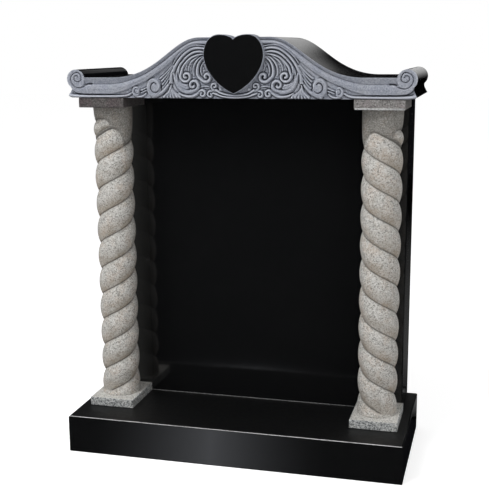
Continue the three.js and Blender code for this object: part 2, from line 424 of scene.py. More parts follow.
BLACK_STONE = Granite(
    ground=(0.0058, 0.0060, 0.0063, 1), cloud=(0.0064, 0.0066, 0.0069, 1),
    dark=(0.0046, 0.0047, 0.0050, 1), light=(0.0088, 0.0090, 0.0095, 1),
    crystals=900.0, clouds=8.0, dark_share=0.2, light_share=0.08,
)
FROSTED_STONE = Granite(
    ground=(0.29, 0.31, 0.365, 1), cloud=(0.335, 0.35, 0.395, 1),
    dark=(0.19, 0.205, 0.245, 1), light=(0.43, 0.445, 0.50, 1),
    crystals=560.0, clouds=25.0, dark_share=0.14, light_share=0.14,
)
ARRIS_STONE = Granite(
    ground=grey(0.74), cloud=grey(0.52), dark=grey(0.32), light=grey(0.88),
    crystals=420.0, clouds=12.0, dark_share=0.12, light_share=0.2,
)
SEAM_STONE = Granite(
    ground=grey(0.36), cloud=grey(0.24), dark=grey(0.14), light=grey(0.6),
    crystals=420.0, clouds=12.0, dark_share=0.15, light_share=0.2,
)
COLUMN_STONE = Granite(
    ground=(0.48, 0.465, 0.435, 1), cloud=(0.50, 0.445, 0.39, 1),
    dark=(0.205, 0.20, 0.185, 1), light=(0.68, 0.67, 0.645, 1),
    crystals=400.0, clouds=30.0, dark_share=0.19, light_share=0.3,
)
PLINTH_STONE = Granite(
    ground=(0.42, 0.43, 0.425, 1), cloud=(0.51, 0.51, 0.485, 1),
    dark=(0.07, 0.08, 0.09, 1), light=(0.74, 0.75, 0.74, 1),
    crystals=360.0, clouds=30.0, dark_share=0.3, light_share=0.28,
)
# Lighter copy of the plinth stone for the tops: painted light on the top faces
LIT_PLINTH_TOP_STONE = Granite(
    ground=(0.60, 0.585, 0.55, 1), cloud=(0.66, 0.65, 0.61, 1),
    dark=(0.24, 0.235, 0.225, 1), light=(0.78, 0.77, 0.75, 1),
    crystals=380.0, clouds=30.0, dark_share=0.16, light_share=0.24,
)
CAPITAL_STONE = Granite(
    ground=(0.225, 0.215, 0.207, 1), cloud=(0.235, 0.212, 0.21, 1),
    dark=(0.07, 0.068, 0.066, 1), light=(0.40, 0.39, 0.38, 1),
    crystals=400.0, clouds=40.0, dark_share=0.2, light_share=0.14,
)
# Darker copy of the capital stone: painted shade on the left capital
SHADED_CAPITAL_STONE = Granite(
    ground=(0.098, 0.090, 0.088, 1), cloud=(0.105, 0.084, 0.087, 1),
    dark=(0.03, 0.028, 0.028, 1), light=(0.20, 0.19, 0.18, 1),
    crystals=400.0, clouds=40.0, dark_share=0.22, light_share=0.12,
)

POLISHED = Finish("polished_black_granite", BLACK_STONE, (0.08, 0.12), 0.0)
LEDGE = Finish("satin_black_granite", BLACK_STONE, (0.5, 0.56), 0.0)
ARRIS = Finish("honed_arris", ARRIS_STONE, (0.35, 0.5), 0.1)
SEAM = Finish("honed_seam", SEAM_STONE, (0.35, 0.5), 0.1)
CARVED = CarvedFinish("frosted_carving_painted_light", FROSTED_STONE, (0.6, 0.75), 0.25)
RIM = Finish("frosted_heart_rim", FROSTED_STONE, (0.5, 0.65), 0.15)
SHAFT = ShaftFinish("tooled_column_granite", COLUMN_STONE, (0.6, 0.8), 0.4)
# Plinth tops: a lighter stone as painted light
LIT_PLINTH_TOP = Finish("plinth_top_painted_light", LIT_PLINTH_TOP_STONE, (0.5, 0.7), 0.3)
PLINTH = Finish("speckled_plinth_granite", PLINTH_STONE, (0.5, 0.7), 0.35)
CAPITAL = Finish("honed_capital_granite", CAPITAL_STONE, (0.5, 0.65), 0.3)
SHADED_CAPITAL = Finish("honed_capital_granite_painted_shade", SHADED_CAPITAL_STONE, (0.5, 0.65), 0.3)


# Mesh helpers

# Points closer than this are one point
DOUBLE = 1e-6

# An edge is sharp if its faces turn by more than this, in radians
SHARP = 1.0


def object_of(bm: bmesh.types.BMesh, name: str, finishes: Sequence[Finish]) -> bpy.types.Object:
    """Turn a bmesh into an object at the origin and free the bmesh.

    Args:
        bm: The finished bmesh.
        name: Name of the object.
        finishes: Finishes of its material slots, in order.

    Returns:
        The object, linked to the scene.
    """
    bmesh.ops.remove_doubles(bm, verts=bm.verts[:], dist=DOUBLE)
    mesh = bpy.data.meshes.new(name)
    bm.to_mesh(mesh)
    bm.free()
    for finish in finishes:
        mesh.materials.append(finish.material())
    piece = bpy.data.objects.new(name, mesh)
    bpy.context.scene.collection.objects.link(piece)
    return piece


def joined(target: bpy.types.Object, tool: bpy.types.Object, operation: str) -> None:
    """Join or trim a piece with another one, which is used up.

    Args:
        target: The piece that is kept.
        tool: The piece that it is joined with or trimmed by.
        operation: UNION or INTERSECT.
    """
    cut = target.modifiers.new("cut", "BOOLEAN")
    cut.object = tool
    cut.operation = operation
    cut.solver = "MANIFOLD"
    graph = bpy.context.evaluated_depsgraph_get()
    mesh = bpy.data.meshes.new_from_object(target.evaluated_get(graph))
    target.modifiers.clear()
    old, target.data = target.data, mesh
    mesh.name = target.name
    bpy.data.meshes.remove(old)
    used = tool.data
    bpy.data.objects.remove(tool)
    bpy.data.meshes.remove(used)


def deliver(piece: bpy.types.Object, node: str) -> None:
    """Hand a finished piece to the frame in place of a solid.

    Args:
        piece: The finished piece.
        node: Solid that it stands for.
    """
    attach(piece, "root")
    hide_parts(node)


def cuboid(bm: bmesh.types.BMesh, low: Vector, high: Vector) -> None:
    """Add a box between two corners.

    Args:
        bm: The bmesh that gets it.
        low: Lowest corner.
        high: Highest corner.
    """
    made = bmesh.ops.create_cube(bm, size=1.0)["verts"]
    bmesh.ops.scale(bm, vec=high - low, verts=made)
    bmesh.ops.translate(bm, vec=(low + high) / 2.0, verts=made)


def edges_where(bm: bmesh.types.BMesh, test: EdgeTest) -> list[bmesh.types.BMEdge]:
    """Pick the edges whose two ends pass a test."""
    return [edge for edge in bm.edges if test(edge.verts[0].co, edge.verts[1].co)]


def eased(
    bm: bmesh.types.BMesh, edges: Sequence[bmesh.types.BMEdge], width: float, segments: int, index: int,
) -> None:
    """Take the arris off some edges of a block.

    Args:
        bm: The block.
        edges: The edges.
        width: Greatest width taken off each face.
        segments: Flats across the arris.
        index: Material slot of the new faces.
    """
    made = bmesh.ops.bevel(
        bm, geom=edges, offset=width, offset_type="OFFSET", segments=segments, profile=0.5,
        affect="EDGES", material=-1,
    )
    for face in made["faces"]:
        face.material_index = index
        face.smooth = True


def near(first: float, second: float) -> bool:
    """Whether two lengths are the same within a hundredth of a millimetre."""
    return abs(first - second) < 1e-5


def lying(level: float, front: float) -> EdgeTest:
    """Make a test for edges that lie at a level in the plane of a front.

    Args:
        level: Height of the edges.
        front: Place of the front.

    Returns:
        The test.
    """
    return lambda first, second: all(near(end.z, level) and near(end.y, front) for end in (first, second))


def smoothstep(value: np.ndarray, low: float, high: float) -> np.ndarray:
    """Ease from 0 at low to 1 at high.

    Args:
        value: Values to ease.
        low: Where the rise starts.
        high: Where it ends.

    Returns:
        The eased values.
    """
    share = np.clip((value - low) / (high - low), 0.0, 1.0)
    return share * share * (3.0 - 2.0 * share)


def spline(stations: Sequence[Station], steps: int = 8) -> np.ndarray:
    """Lay a smooth curve through stations.

    Args:
        stations: Points that the curve passes through.
        steps: Points laid from one station to the next.

    Returns:
        The points of the curve.
    """
    knots = np.asarray(stations, dtype=float)
    padded = np.vstack([2 * knots[0] - knots[1], knots, 2 * knots[-1] - knots[-2]])
    share = np.linspace(0.0, 1.0, steps, endpoint=False)[:, None]
    parts = []
    for before, here, there, after in zip(padded, padded[1:], padded[2:], padded[3:]):
        parts.append(0.5 * (
            2 * here + (there - before) * share
            + (2 * before - 5 * here + 4 * there - after) * share**2
            + (3 * here - before - 3 * there + after) * share**3
        ))
    return np.vstack([*parts, knots[-1:]])


def bezier(ends: Sequence[Station], steps: int) -> np.ndarray:
    """Lay a cubic Bezier curve.

    Args:
        ends: Start, two pulls and end.
        steps: Number of steps.

    Returns:
        The points of the curve, both ends included.
    """
    start, first, second, end = (np.asarray(point, dtype=float) for point in ends)
    share = np.linspace(0.0, 1.0, steps + 1)[:, None]
    rest = 1.0 - share
    return rest**3 * start + 3 * rest**2 * share * first + 3 * rest * share**2 * second + share**3 * end


# Base, tablet and slabs


class Stone(Protocol):
    """One piece of the memorial."""

    def build(self) -> bpy.types.Object:
        """Make the piece and hand it over."""


@dataclass
class BaseStone:
    """Polished base with a satin top, whose front arris is honed to a light line."""

    front_arris: float = 3.2
    end_arris: float = 4.0
    segments: int = 3

    def build(self) -> bpy.types.Object:
        """Cut the block and hand it over.

        Returns:
            The base.
        """
        low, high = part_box("base")
        finishes = (POLISHED, ARRIS, LEDGE)
        bm = bmesh.new()
        cuboid(bm, low, high)

        def is_end(first: Vector, second: Vector) -> bool:
            """Top edges of the ends."""
            return near(first.x, second.x) and near(first.z, high.z) and near(second.z, high.z)

        ends = edges_where(bm, is_end)
        eased(bm, ends, self.end_arris * MM, self.segments, finishes.index(POLISHED))
        front = edges_where(bm, lying(high.z, low.y))
        eased(bm, front, self.front_arris * MM, self.segments, finishes.index(ARRIS))
        top = max(bm.faces, key=lambda face: face.calc_center_median().z)
        top.material_index = finishes.index(LEDGE)
        piece = object_of(bm, "polished_base", finishes)
        deliver(piece, "base")
        return piece


@dataclass
class Tablet:
    """Bare polished tablet with eased standing edges and a fine line at its foot."""

    arris: float = 3.0
    segments: int = 3
    foot_line: float = 2.5

    def build(self) -> bpy.types.Object:
        """Cut the slab and hand it over.

        Returns:
            The tablet.
        """
        low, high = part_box("tablet")
        finishes = (POLISHED, SEAM)
        bm = bmesh.new()
        cuboid(bm, low, high)

        def is_standing(first: Vector, second: Vector) -> bool:
            """Upright edges."""
            return near(first.x, second.x) and near(first.y, second.y)

        standing = edges_where(bm, is_standing)
        eased(bm, standing, self.arris * MM, self.segments, finishes.index(POLISHED))
        foot = edges_where(bm, lying(low.z, low.y))
        eased(bm, foot, self.foot_line * MM, 1, finishes.index(SEAM))
        piece = object_of(bm, "polished_tablet", finishes)
        deliver(piece, "tablet")
        return piece


@dataclass
class Slab:
    """Square slab at the foot or the head of a column."""

    node: str
    finish: Finish
    slot: Slot
    arris: float = 2.0
    segments: int = 2
    foot_line: float = 0.0
    top: Finish | None = None

    def build(self) -> bpy.types.Object:
        """Cut the slab and hand it over.

        Returns:
            The slab.
        """
        low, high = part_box(self.node)
        finishes = (self.finish, ARRIS, self.top or self.finish)
        bm = bmesh.new()
        cuboid(bm, low, high)
        if self.foot_line:
            foot = edges_where(bm, lying(low.z, low.y))
            eased(bm, foot, self.foot_line * MM, 1, finishes.index(ARRIS))
        sharp = [edge for edge in bm.edges if edge.calc_face_angle(0.0) > SHARP]
        eased(bm, sharp, self.arris * MM, self.segments, finishes.index(self.finish))
        if self.top:
            upper = max(bm.faces, key=lambda face: face.calc_center_median().z)
            upper.material_index = finishes.index(self.top)
        piece = object_of(bm, f"{self.node}_slab", finishes)
        deliver(piece, self.node)
        return piece


# The left capital takes a darker copy of the capital stone as painted shade; the right one has a light line
# at its foot, a painted reflection in the honed arris finish
CAPITALS: dict[Side, Slab] = {
    Side.LEFT: Slab("capital_left", SHADED_CAPITAL, Slot.GREY),
    # The light line at this capital's foot is a painted reflection
    Side.RIGHT: Slab("capital_right", CAPITAL, Slot.GREY, foot_line=4.5),
}


# Twisted columns


@dataclass
class TwistedColumn:
    """Barley-twist shaft of two strands whose ends die out below a plain neck."""

    side: Side
    radius: float = 53.0
    height: float = 812.0
    lead: float = 147.64
    outer_groove: float = 55.0
    groove: float = 10.0
    fullness: float = 0.62
    sides: int = 96
    rings: int = 328
    belly: float = 0.55
    foot_fade: float = 12.0
    neck: float = 56.0
    neck_cut: float = 6.5
    neck_run: float = 16.0
    narrowing: Span = (-130.0, -70.0)
    tongue: Span = (5.0, 55.0)
    tongue_share: float = 0.9
    left_rear: Span = (88.0, 192.0)
    right_rear: Span = (40.0, 140.0)
    rear_drop: float = 0.34
    rear_sink: Span = (-180.0, -100.0)

    @property
    def sense(self) -> int:
        """Sign of the twist: the left shaft climbs to the right."""
        return -self.side.value

    @property
    def rear_tongue(self) -> Span:
        """Angles of the rear strand's end, which shows more on the right."""
        return self.left_rear if self.side is Side.LEFT else self.right_rear

    def twist(self) -> bmesh.types.BMesh:
        """Sweep a ring up the shaft while it turns.

        Returns:
            The closed shaft at the origin, its seams along the strands.
        """
        bm = bmesh.new()
        bmesh.ops.create_circle(bm, cap_ends=False, radius=self.radius, segments=self.sides)
        bmesh.ops.spin(
            bm, geom=bm.edges[:], cent=(0, 0, 0), axis=(0, 0, 1), steps=self.rings, use_merge=False,
            dvec=(0, 0, self.height / self.rings),
            angle=self.sense * 2.0 * math.pi * self.height / self.lead,
        )
        rims = [edge for edge in bm.edges if edge.is_boundary]
        bmesh.ops.holes_fill(bm, edges=rims, sides=0)
        bmesh.ops.recalc_face_normals(bm, faces=bm.faces[:])
        return bm

    def strand_top(self, along: np.ndarray, tongue: Span) -> np.ndarray:
        """Share of a strand's width that is left at an angle along it, near its end.

        Args:
            along: Angle in degrees from the front of the shaft towards its inner side.
            tongue: Angles where the strand begins to close and where its tip is.

        Returns:
            1 on the whole strand, and 0 past its tip.
        """
        start, end = tongue
        share = np.clip((along - start) / (end - start), 0.0, 1.0)
        cap = self.tongue_share * np.sqrt(1.0 - share**2)
        narrowed = 1.0 - smoothstep(along, *self.narrowing) * (1.0 - self.tongue_share)
        return np.where(along > start, cap, narrowed)

    def strands(self, turn: np.ndarray, z: np.ndarray) -> tuple[np.ndarray, np.ndarray, np.ndarray]:
        """Find the strand that each point of the shaft lies on.

        Args:
            turn: Angle in degrees from the front of the shaft towards its inner side.
            z: Height above the foot.

        Returns:
            Whether a point lies on a strand, the share of the strand's width under it, and how far past
            the strands it is.
        """
        width = self.lead / 2.0
        first_groove = self.outer_groove + self.lead / 4.0
        climb = (z - first_groove - self.lead * turn / 360.0) / width
        last = math.floor((self.height - self.neck - first_groove) / width)
        whole = np.floor(climb)
        beyond = climb - last

        # The front strand's last turn closes to a tongue, with nothing above it
        over = whole > last
        lift = np.where(over, beyond, climb - whole)
        top = np.where(over, 0.0, self.strand_top(turn - 180.0 * (last - whole), self.tongue))

        # The rear strand runs on above it, and sinks before its own tongue
        behind = turn < self.rear_tongue[1] - 180.0
        sunk = 1.0 - self.rear_drop * smoothstep(turn, *self.rear_sink)
        rear = np.where(over & behind, self.strand_top(turn + 180.0, self.rear_tongue) * sunk, 0.0)
        on_rear = over & (beyond - 1.0 < rear) & (beyond >= 1.0)
        lift = np.where(on_rear, beyond - 1.0, lift)
        top = np.where(on_rear, rear, top)

        # What is left over is the neck
        base = np.where(behind & (beyond >= 1.0), 1.0 + rear, self.strand_top(turn, self.tongue))
        past = np.where(over & ~on_rear, beyond - base, lift - top) * width
        share = np.clip(lift / np.maximum(top, 1e-6), 0.0, 1.0)
        return lift < top, share, past

    def worked(self, points: np.ndarray) -> tuple[np.ndarray, dict[str, np.ndarray]]:
        """Cut the twist into the shaft.

        Args:
            points: Points of the plain shaft, standing on z = 0.

        Returns:
            The points cut in, and by name how deep each sits in a groove, how far it is under the belly of
            a strand and how much of it belongs to the neck.
        """
        x, y, z = points.T
        turn = np.degrees(np.arctan2(-self.side.value * x, -y))
        on_strand, share, past = self.strands(turn, z)
        lobe = np.sin(math.pi * share) ** self.fullness
        recess = np.where(on_strand, 1.0 - lobe, np.exp(-np.clip(past, 0.0, None) / self.neck_run))
        foot = smoothstep(z, 0.0, self.foot_fade)
        cut = np.where(on_strand, self.groove, self.neck_cut) * recess * foot
        on_skin = np.hypot(x, y) > self.radius / 2.0
        scale = np.where(on_skin, 1.0 - cut / self.radius, 1.0)
        # These marks are the masks of the painted shade in the shaft's material: in the groove, under each
        # strand and on the neck
        marks = {
            "recess": recess * foot,
            "under": np.where(on_strand, np.clip(1.0 - share / self.belly, 0.0, 1.0), 0.0) * foot,
            "neck": np.where(on_strand, 0.0, 1.0),
        }
        return np.column_stack([x * scale, y * scale, z]), marks

    def build(self) -> bpy.types.Object:
        """Turn the shaft, cut its twist and hand it over.

        Returns:
            The column.
        """
        node = f"column_{self.side.label}"
        low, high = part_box(node)
        bm = self.twist()
        for face in bm.faces:
            face.smooth = len(face.verts) == 4
        piece = object_of(bm, f"twisted_{node}", (SHAFT,))
        mesh = piece.data
        flat = np.empty(len(mesh.vertices) * 3)
        mesh.vertices.foreach_get("co", flat)
        points, marks = self.worked(flat.reshape(-1, 3))
        middle = (low + high) / 2.0
        points = points * MM + np.array([middle.x, middle.y, low.z])
        mesh.vertices.foreach_set("co", points.ravel())
        for name, values in marks.items():
            mesh.attributes.new(name, "FLOAT", "POINT").data.foreach_set("value", values)
        mesh.update()
        deliver(piece, node)
        return piece


# Carving of the pediment

# Degrees from one point of a wound scroll to the next
SCROLL_STEP = 30.0

# The smaller this is, the squarer the section of a groove
GROOVE_FULLNESS = 0.7


@dataclass(frozen=True)
class Strand:
    """A raised strand: its stations, and its half-widths and rises evenly from start to tip.

    The smaller its fullness, the squarer its section.
    """

    stations: tuple[Station, ...]
    half: tuple[float, ...]
    rise: tuple[float, ...]
    fullness: float = 0.5

    def path(self) -> np.ndarray:
        """Middle line of the strand."""
        return spline(self.stations)


@dataclass(frozen=True)
class Scroll(Strand):
    """A strand whose end winds into an eye."""

    eye: Station = (0.0, 0.0)
    start: float = 0.0
    sweep: float = 360.0
    radius: Span = (10.0, 2.0)
    hold: float = 1.0

    def path(self) -> np.ndarray:
        """Middle line of the scroll.

        Returns:
            The lead-in and then the spiral, as points.
        """
        steps = math.ceil(abs(self.sweep) / SCROLL_STEP)
        share = np.linspace(0.0, 1.0, steps + 1)
        reach = self.radius[0] + (self.radius[1] - self.radius[0]) * share**self.hold
        angle = np.radians(self.start + self.sweep * share)
        wind = np.column_stack([
            self.eye[0] + reach * np.cos(angle), self.eye[1] + reach * np.sin(angle),
        ])
        return spline([*self.stations, *map(tuple, wind)], 5)


@dataclass(frozen=True)
class Volute:
    """A flat oval face with an eased edge and a groove wound into it."""

    centre: Station
    radii: Span
    rise: float
    ease: float
    groove: tuple[Station, ...]
    half: float
    depth: float


@dataclass(frozen=True)
class Leaf:
    """A closed leaf with an eased edge and a rib cut along it."""

    outline: tuple[Station, ...]
    rib: tuple[Station, ...]
    rise: float = 9.5
    ease: float = 3.0
    half: float = 1.3
    depth: float = 3.0


@dataclass(frozen=True)
class Cornice:
    """Edge moulding: a fascia along the top, a quirk under it and a ribbon, narrower towards the heart.

    It runs between two distances from the middle plane, from the roll to behind the heart. The widths go by
    the share along the edge. In the profile, 0 to 1 is the fascia and 1 to 2 the ribbon.
    """

    end: float = 411.0
    start: float = 60.0
    reach: float = 46.0
    fascia: tuple[Station, ...] = ((0.2, 17.5), (0.36, 11.0), (0.5, 9.0), (0.9, 8.0))
    ribbon: tuple[Station, ...] = ((0.2, 25.0), (0.36, 17.5), (0.5, 15.0), (0.7, 12.0), (0.9, 9.5))
    profile: tuple[Station, ...] = (
        (0.0, 12.8), (0.05, 13.8), (0.12, 13.2), (0.9, 6.2), (0.97, 5.4), (1.0, 4.2), (1.05, 8.9),
        (1.12, 11.0), (1.5, 12.9), (1.58, 12.0), (1.94, 10.4), (2.0, 8.0),
    )


class ReliefField:
    """Heights of the carving over the right half of the face, in millimetres."""

    def __init__(self, columns: np.ndarray, rows: np.ndarray, ground: float, channel: Span) -> None:
        """Start from a flat ground.

        Args:
            columns: Distances from the middle plane, rising.
            rows: Heights above the sole, rising.
            ground: Level of the flat ground.
            channel: Width and depth of the cut beside each strand.
        """
        self.columns = columns
        self.rows = rows
        self.channel = channel
        self.height = np.full((rows.size, columns.size), ground)

    def window(self, points: np.ndarray, margin: float) -> Window:
        """Part of the field around some points.

        Args:
            points: The points.
            margin: How far around them.

        Returns:
            Row and column slices.
        """
        low = points.min(axis=0) - margin
        high = points.max(axis=0) + margin
        return (
            slice(*np.searchsorted(self.rows, (low[1], high[1]))),
            slice(*np.searchsorted(self.columns, (low[0], high[0]))),
        )

    def measured(self, path: np.ndarray, margin: float) -> tuple[Window, np.ndarray, np.ndarray]:
        """Measure the field around a path.

        Args:
            path: Points of the path.
            margin: How far around it to measure.

        Returns:
            The window, the distance to the path and the share of its length at the nearest point.
        """
        window = self.window(path, margin)
        x, z = np.meshgrid(self.columns[window[1]], self.rows[window[0]])
        nearest = np.full(x.shape, 1e9)
        along = np.zeros(x.shape)
        runs = np.diff(path, axis=0)
        reached = np.concatenate([[0.0], np.cumsum(np.hypot(*runs.T))])
        reached /= reached[-1]
        for start, run, first, last in zip(path, runs, reached, reached[1:]):
            length = max(float(run @ run), 1e-9)
            share = np.clip(((x - start[0]) * run[0] + (z - start[1]) * run[1]) / length, 0.0, 1.0)
            away = np.hypot(x - start[0] - share * run[0], z - start[1] - share * run[1])
            closer = away < nearest
            nearest[closer] = away[closer]
            along[closer] = (first + share * (last - first))[closer]
        return window, nearest, along

    def raise_to(self, window: Window, level: np.ndarray) -> None:
        """Raise a window wherever a new level stands higher."""
        self.height[window] = np.maximum(self.height[window], level)

    def ridge(self, strand: Strand) -> None:
        """Carve a rounded strand with a narrow cut on both sides.

        Args:
            strand: The strand.
        """
        run, depth = self.channel
        window, away, along = self.measured(strand.path(), max(strand.half) + run)
        half = np.interp(along, np.linspace(0.0, 1.0, len(strand.half)), strand.half)
        rise = np.interp(along, np.linspace(0.0, 1.0, len(strand.rise)), strand.rise)
        beside = np.clip(1.0 - np.abs((away - half) * 2.0 / run - 1.0), 0.0, 1.0)
        self.height[window] = np.maximum(self.height[window] - depth * beside, 0.0)
        inside = np.clip(1.0 - (away / half) ** 2, 0.0, None)
        self.raise_to(window, np.where(inside > 0.0, rise * inside**strand.fullness, -1.0))

    def moulding(self, edge: np.ndarray, cornice: Cornice) -> None:
        """Run the edge moulding along an edge.

        Args:
            edge: Points of the edge.
            cornice: The moulding.
        """
        window, away, along = self.measured(edge, cornice.reach)
        fascia = np.interp(along, *zip(*cornice.fascia))
        ribbon = np.interp(along, *zip(*cornice.ribbon))
        place = np.where(away < fascia, away / fascia, 1.0 + (away - fascia) / ribbon)
        self.raise_to(window, np.interp(place, *zip(*cornice.profile), right=-1.0))

    def disc(self, centre: Station, radii: Span, rise: float, ease: float) -> None:
        """Leave a flat oval face with an eased edge.

        Args:
            centre: Middle of the oval.
            radii: Half its width and half its height.
            rise: Level of the face.
            ease: Width of the eased edge.
        """
        window = self.window(np.array([centre]), max(radii))
        x, z = np.meshgrid(self.columns[window[1]], self.rows[window[0]])
        out = np.hypot((x - centre[0]) / radii[0], (z - centre[1]) / radii[1])
        share = np.clip((1.0 - out) * min(radii) / ease, 0.0, 1.0)
        self.raise_to(window, np.where(out < 1.0, rise * np.sqrt(1.0 - (1.0 - share) ** 2), -1.0))

    def leaf(self, outline: Sequence[Station], rise: float, ease: float) -> None:
        """Leave a closed leaf with an eased edge.

        Args:
            outline: Stations around the leaf.
            rise: Level of its middle.
            ease: Width of the eased edge.
        """
        path = spline([*outline, outline[0]])
        window, away, _ = self.measured(path, 1.0)
        x, z = np.meshgrid(self.columns[window[1]], self.rows[window[0]])
        inside = np.zeros(x.shape, dtype=bool)
        for (x0, z0), (x1, z1) in zip(path, path[1:]):
            crosses = (z0 > z) != (z1 > z)
            rise_run = z1 - z0 if abs(z1 - z0) > 1e-9 else 1e-9
            inside ^= crosses & (x < (x1 - x0) * (z - z0) / rise_run + x0)
        share = np.clip(away / ease, 0.0, 1.0)
        self.raise_to(window, np.where(inside, rise * np.sqrt(1.0 - (1.0 - share) ** 2), -1.0))

    def groove(self, stations: Sequence[Station], half: float, depth: float) -> None:
        """Cut a narrow groove.

        Args:
            stations: Stations along it.
            half: Half its width.
            depth: How deep it is.
        """
        window, away, _ = self.measured(spline(stations), half)
        self.height[window] -= depth * np.clip(1.0 - away / half, 0.0, 1.0) ** GROOVE_FULLNESS

    def soften(self) -> None:
        """Rub the steps of the grid away by one pass over each point and its neighbours."""
        for axis in (0, 1):
            before = np.roll(self.height, 1, axis)
            after = np.roll(self.height, -1, axis)
            rubbed = (before + 2.0 * self.height + after) / 4.0
            inner = [slice(None), slice(None)]
            inner[axis] = slice(1, -1)
            self.height[tuple(inner)] = rubbed[tuple(inner)]

    def painted_relief_light(self, reach: int, span: float) -> np.ndarray:
        """How far each point stands over its surroundings: the mask of the carving's painted highlight and
        painted shade.

        Args:
            reach: Points on each side that count as surroundings.
            span: Height that goes from the darkest cut to the palest crest.

        Returns:
            0.5 on a plain, more on a crest and less in a cut.
        """
        mirrored = np.concatenate([self.height[:, reach:0:-1], self.height], axis=1)
        padded = np.pad(mirrored, ((reach, reach), (0, reach)), mode="edge")
        padded = np.pad(padded, ((1, 0), (1, 0)))
        total = padded.cumsum(axis=0).cumsum(axis=1)
        size = 2 * reach + 1
        around = total[size:, size:] - total[:-size, size:] - total[size:, :-size] + total[:-size, :-size]
        return np.clip(0.5 + (self.height - around / size**2) / span, 0.0, 1.0)

    def sample(self, values: np.ndarray, x: np.ndarray, z: np.ndarray) -> np.ndarray:
        """Read a field of values between its points.

        Args:
            values: Field of the same shape as the heights.
            x: Distances from the middle plane.
            z: Heights above the sole.

        Returns:
            The values at those places.
        """
        column = np.clip(np.searchsorted(self.columns, x) - 1, 0, self.columns.size - 2)
        row = np.clip(np.searchsorted(self.rows, z) - 1, 0, self.rows.size - 2)
        u = (x - self.columns[column]) / (self.columns[column + 1] - self.columns[column])
        v = (z - self.rows[row]) / (self.rows[row + 1] - self.rows[row])
        u, v = np.clip(u, 0.0, 1.0), np.clip(v, 0.0, 1.0)
        lower = values[row, column] * (1 - u) + values[row, column + 1] * u
        upper = values[row + 1, column] * (1 - u) + values[row + 1, column + 1] * u
        return lower * (1 - v) + upper * v


# Half-widths and rises of a feather
FEATHER = ((1.2, 2.6, 2.6), (8.5, 10.0, 9.5))

# Strands of the right half, in millimetres from the middle plane and above the sole
STRANDS: tuple[Strand, ...] = (
    # End of the ribbon, under and around the roll
    Strand(
        ((398, 22.2), (416, 20.6), (432, 19.8), (443, 23.5), (450, 31)),
        (12.3, 10.5, 7.0, 3.0), (12.6, 13.2), fullness=0.2,
    ),
    # Feathers beside the trunk, the last of which is the tail of the medium volute
    Strand(((162.5, 91), (170.5, 78.5), (181, 67), (192, 57), (201, 50.5)), *FEATHER),
    Strand(((163.5, 83.5), (172, 70), (181, 59.5), (190, 50.5), (197.5, 43)), *FEATHER),
    Strand(((165, 75.5), (173, 62), (180.5, 52), (188, 42.5), (195, 35)), *FEATHER),
    Strand(((167, 66), (174, 53), (181, 42.5), (188, 33), (195, 25.5)), *FEATHER),
    Strand(
        ((169.5, 52), (175.5, 39.5), (184, 28), (195, 16.5), (208.5, 8), (221.5, 4)),
        (1.8, 3.6, 5.0, 4.6), (9.0, 10.5, 12.0),
    ),
    # Long strands that run from the heart under the edge moulding into the trunk
    Strand(
        ((73.5, 131), (89, 133), (103, 133), (117.5, 129.5), (132.5, 121), (146.5, 110), (157, 99.5),
         (164, 88.5)),
        (2.2, 3.0, 1.8), (10.0, 10.5, 9.0),
    ),
    Strand(
        ((72, 123.5), (87.5, 126.5), (101, 127), (114.5, 124), (127.5, 116.5), (139.5, 107), (150, 95),
         (159, 81.5), (165.5, 68), (170, 55), (172, 40)),
        (3.4, 3.9, 4.0, 5.4), (11.5, 11.0, 10.0),
    ),
    Strand(
        ((73.5, 114.5), (87.5, 117.5), (98, 118), (110, 115.5), (122, 109), (132.5, 100), (142, 90),
         (149.5, 79), (154.5, 68), (156.5, 58), (155.5, 47.5), (152, 37.5)),
        (2.8, 3.4, 3.2, 2.4), (11.0, 10.5, 9.5),
    ),
    # Leaf lobes between them
    Strand(
        ((134, 96.5), (143, 88.5), (148, 79), (150.5, 69.5), (150, 59.5), (147.5, 50.5)),
        (1.4, 2.8, 1.8), (9.0, 9.5, 9.0),
    ),
    Strand(((111.5, 99.5), (124.5, 90), (131, 80), (134, 69.5)), (1.2, 2.0, 1.2), (8.5, 9.0, 8.0)),
    Strand(
        ((95, 107), (107.5, 99), (117.5, 89.5), (122.5, 78.5), (123.5, 69)),
        (1.4, 2.4, 1.6), (9.0, 9.5, 8.5),
    ),
    Strand(
        ((75, 108), (89, 104), (99.5, 96), (107, 85.5), (110.5, 75), (111, 65), (109, 57)),
        (1.8, 2.8, 1.8), (10.0, 10.5, 9.0),
    ),
    # Lobes inside the comma leaf
    Strand(((79, 93), (85.5, 86.5), (89.5, 76), (90, 66), (87, 57)), (1.6, 2.4, 1.4), (9.0, 9.0, 8.5)),
    Strand(((73.5, 96), (78, 85.5), (77, 75.5), (72.5, 68)), (1.4, 2.0, 1.4), (8.0, 8.5, 8.0)),
    # Outer strand around the lower curl
    Strand(
        ((122, 10), (110, 12), (101, 17.5), (96, 25.5), (95.5, 34.5), (99, 42.5), (105.5, 47.5)),
        (1.6, 2.2, 1.6), (9.0, 9.5, 9.0),
    ),
    # Tail of the small volute and the leaves in the hollow beside it
    Strand(((269, 4.5), (257, 3.5), (247, 6.5), (241, 12)), (3.2, 2.2), (10.0, 9.0)),
    Strand(((239, 27), (247, 22.5), (256, 20)), (2.4, 1.6), (9.0, 8.0)),
    Strand(((240, 19), (247, 16.5), (255, 13)), (2.2, 1.4), (8.5, 8.0)),
    # Little leaves between the lower curl and the swag
    Strand(((63, 26), (71, 29.5), (81, 31), (92, 28.5)), (2.2, 2.0, 1.0), (9.0, 8.0)),
    Strand(((64, 22.5), (72, 25), (82, 25.5)), (1.9, 1.0), (8.5, 7.5)),
    # Lip at the foot
    Strand(
        ((454, 7), (440, 5), (415, 4), (365, 4), (310, 4.6), (291, 7.5), (281, 13)),
        (4.6, 3.5, 3.4, 2.8), (13.0, 12.0, 10.0),
    ),
)

